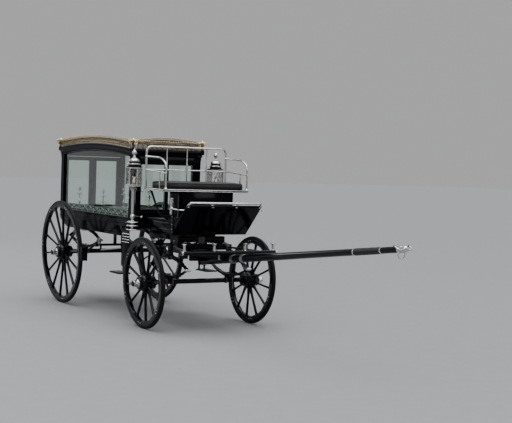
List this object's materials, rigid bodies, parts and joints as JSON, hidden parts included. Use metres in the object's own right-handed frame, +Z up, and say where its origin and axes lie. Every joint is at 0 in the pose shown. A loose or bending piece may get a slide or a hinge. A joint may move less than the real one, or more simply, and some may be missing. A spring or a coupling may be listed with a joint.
{
  "type": "horse-drawn hearse carriage",
  "caption": "Glass-sided horse-drawn hearse with arched roof, brass gallery, box seat, carriage lamps, spoked wheels, turning forecarriage and draught pole.",
  "frame": {"origin": "on the ground, midway between the rear finials and the pole tip, on the centre plane", "axes": "+X direction of travel, +Y the driver's left, +Z up"},
  "size_m": [6.4, 1.5784, 2.019],
  "materials": {
    "black_paint": "coach enamel, varnished to a deep gloss",
    "plate_glass": "clear polished plate",
    "brass": "polished, slightly dulled",
    "silver_plate": "bright plate",
    "deck_wood": "dark varnished boards",
    "seat_leather": "black hide, buttoned",
    "rubber": "solid rubber, dusty"
  },
  "bodies": {
    "carriage": {"lower_body": "black_paint", "side_frames": "black_paint", "front_frame": "black_paint", "body_glass": "plate_glass", "rear_door_surround": "black_paint", "roof": "black_paint", "roof_gallery": "brass", "corner_finials": "brass", "bier_deck": "deck_wood", "bier_pins": "silver_plate", "carriage_lamps": "silver_plate", "lamp_glasses": "plate_glass", "boot": "black_paint", "toe_board": "black_paint", "seat_frame": "black_paint", "seat_cushion": "seat_leather", "seat_rails": "silver_plate", "toe_rail": "silver_plate", "whip_socket": "black_paint", "hanging_steps": "black_paint", "rear_springs": "black_paint", "rear_axle": "black_paint", "brake_gear": "black_paint", "upper_turntable": "black_paint"},
    "forecarriage": {"lower_turntable": "black_paint", "front_axle": "black_paint", "front_springs": "black_paint", "futchells": "black_paint", "splinter_bar": "black_paint", "pole": "black_paint", "pole_head": "silver_plate"},
    "right_rear_road_wheel": {"right_rear_wheel": "black_paint", "right_rear_tyre": "rubber", "right_rear_hub_cap": "silver_plate"},
    "left_rear_road_wheel": {"left_rear_wheel": "black_paint", "left_rear_tyre": "rubber", "left_rear_hub_cap": "silver_plate"},
    "right_front_road_wheel": {"right_front_wheel": "black_paint", "right_front_tyre": "rubber", "right_front_hub_cap": "silver_plate"},
    "left_front_road_wheel": {"left_front_wheel": "black_paint", "left_front_tyre": "rubber", "left_front_hub_cap": "silver_plate"},
    "right_door": {"right_rear_door": "black_paint", "right_rear_door_glass": "plate_glass", "rear_door_handle": "silver_plate"},
    "left_door": {"left_rear_door": "black_paint", "left_rear_door_glass": "plate_glass"}
  },
  "joints": [
    {"name": "steering", "type": "hinge", "parent": "carriage", "child": "forecarriage", "pos_m": [-0.25, 0, 0.88], "axis": [0, 0, 1], "range_deg": [-35, 35]},
    {"name": "right_rear_wheel_spin", "type": "hinge", "parent": "carriage", "child": "right_rear_road_wheel", "pos_m": [-2.47, -0.65729, 0.60963], "axis": [0, 0.9994, 0.0349], "continuous": true},
    {"name": "left_rear_wheel_spin", "type": "hinge", "parent": "carriage", "child": "left_rear_road_wheel", "pos_m": [-2.47, 0.65729, 0.60963], "axis": [0, 0.9994, -0.0349], "continuous": true},
    {"name": "right_front_wheel_spin", "type": "hinge", "parent": "forecarriage", "child": "right_front_road_wheel", "pos_m": [-0.25, -0.65254, 0.47371], "axis": [0, 0.9994, 0.0349], "continuous": true},
    {"name": "left_front_wheel_spin", "type": "hinge", "parent": "forecarriage", "child": "left_front_road_wheel", "pos_m": [-0.25, 0.65254, 0.47371], "axis": [0, 0.9994, -0.0349], "continuous": true},
    {"name": "right_door_hinge", "type": "hinge", "parent": "carriage", "child": "right_door", "pos_m": [-3.144, -0.3755, 1.4], "axis": [0, 0, 1], "range_deg": [0, 110]},
    {"name": "left_door_hinge", "type": "hinge", "parent": "carriage", "child": "left_door", "pos_m": [-3.144, 0.3755, 1.4], "axis": [0, 0, -1], "range_deg": [0, 110]}
  ]
}
